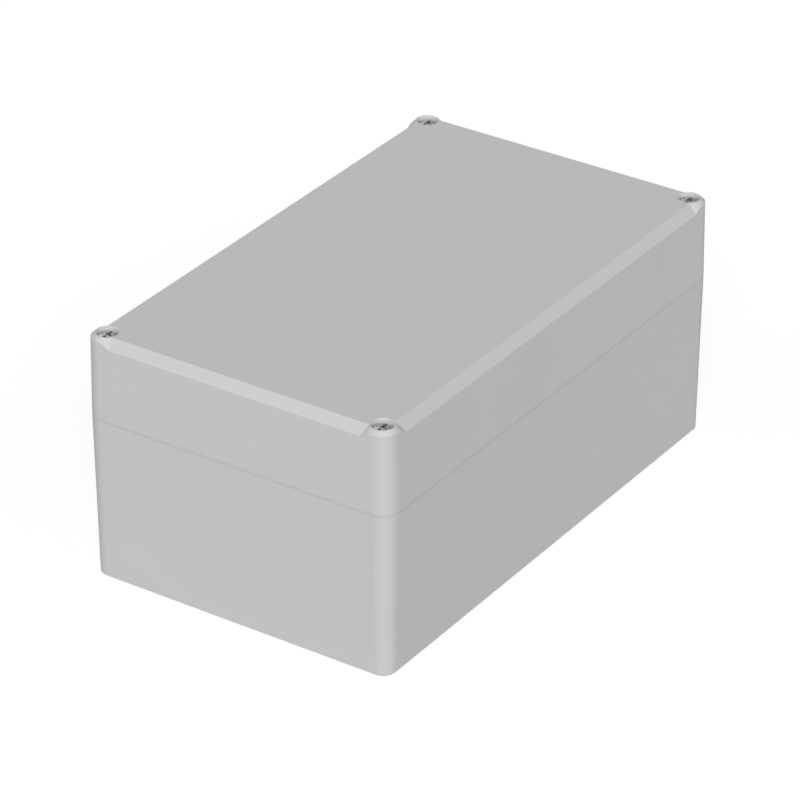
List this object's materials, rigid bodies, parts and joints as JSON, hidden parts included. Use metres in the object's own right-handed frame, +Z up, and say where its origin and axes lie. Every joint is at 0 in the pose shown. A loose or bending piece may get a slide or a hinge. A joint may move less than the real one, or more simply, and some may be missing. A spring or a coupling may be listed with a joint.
{
  "type": "plastic project box",
  "caption": "Rectangular plastic enclosure: a deep base and a bevelled lid with tongue-and-groove seal, captive corner screws and brass inserts.",
  "frame": {"origin": "centre of the underside, on the surface the box stands on", "axes": "+X along the length, +Y across the width, +Z up through the lid"},
  "size_m": [0.2, 0.12, 0.091],
  "materials": {
    "grey_plastic": "fine matt moulded texture, light grey",
    "gasket_rubber": "smooth, black",
    "brass": "turned, knurled",
    "screw_steel": "bright zinc on steel",
    "nylon": "natural nylon"
  },
  "bodies": {
    "base": {"base": "grey_plastic", "insert_front_left": "brass", "insert_front_right": "brass", "insert_back_left": "brass", "insert_back_right": "brass"},
    "lid": {"lid": "grey_plastic", "gasket": "gasket_rubber"},
    "retainer_front_left": {"retainer_front_left": "nylon"},
    "lid_screw_front_left": {"lid_screw_front_left": "screw_steel"},
    "retainer_front_right": {"retainer_front_right": "nylon"},
    "lid_screw_front_right": {"lid_screw_front_right": "screw_steel"},
    "retainer_back_left": {"retainer_back_left": "nylon"},
    "lid_screw_back_left": {"lid_screw_back_left": "screw_steel"},
    "retainer_back_right": {"retainer_back_right": "nylon"},
    "lid_screw_back_right": {"lid_screw_back_right": "screw_steel"}
  },
  "joints": [
    {"name": "lid_lift", "type": "slide", "parent": "base", "child": "lid", "axis": [0, 0, 1], "range_m": [0, 0.1]},
    {"name": "screw_rise_front_left", "type": "slide", "parent": "lid", "child": "retainer_front_left", "axis": [0, 0, 1], "range_m": [0, 0.0056]},
    {"name": "screw_turn_front_left", "type": "hinge", "parent": "retainer_front_left", "child": "lid_screw_front_left", "pos_m": [-0.094, -0.054, 0.0875], "axis": [0, 0, 1], "range_deg": [0, 2880]},
    {"name": "screw_rise_front_right", "type": "slide", "parent": "lid", "child": "retainer_front_right", "axis": [0, 0, 1], "range_m": [0, 0.0056]},
    {"name": "screw_turn_front_right", "type": "hinge", "parent": "retainer_front_right", "child": "lid_screw_front_right", "pos_m": [0.094, -0.054, 0.0875], "axis": [0, 0, 1], "range_deg": [0, 2880]},
    {"name": "screw_rise_back_left", "type": "slide", "parent": "lid", "child": "retainer_back_left", "axis": [0, 0, 1], "range_m": [0, 0.0056]},
    {"name": "screw_turn_back_left", "type": "hinge", "parent": "retainer_back_left", "child": "lid_screw_back_left", "pos_m": [-0.094, 0.054, 0.0875], "axis": [0, 0, 1], "range_deg": [0, 2880]},
    {"name": "screw_rise_back_right", "type": "slide", "parent": "lid", "child": "retainer_back_right", "axis": [0, 0, 1], "range_m": [0, 0.0056]},
    {"name": "screw_turn_back_right", "type": "hinge", "parent": "retainer_back_right", "child": "lid_screw_back_right", "pos_m": [0.094, 0.054, 0.0875], "axis": [0, 0, 1], "range_deg": [0, 2880]}
  ],
  "couplings": [
    {"joint": "screw_turn_front_left", "follows": "screw_rise_front_left", "rad_per_m": 8976},
    {"joint": "screw_turn_front_right", "follows": "screw_rise_front_right", "rad_per_m": 8976},
    {"joint": "screw_turn_back_left", "follows": "screw_rise_back_left", "rad_per_m": 8976},
    {"joint": "screw_turn_back_right", "follows": "screw_rise_back_right", "rad_per_m": 8976}
  ]
}
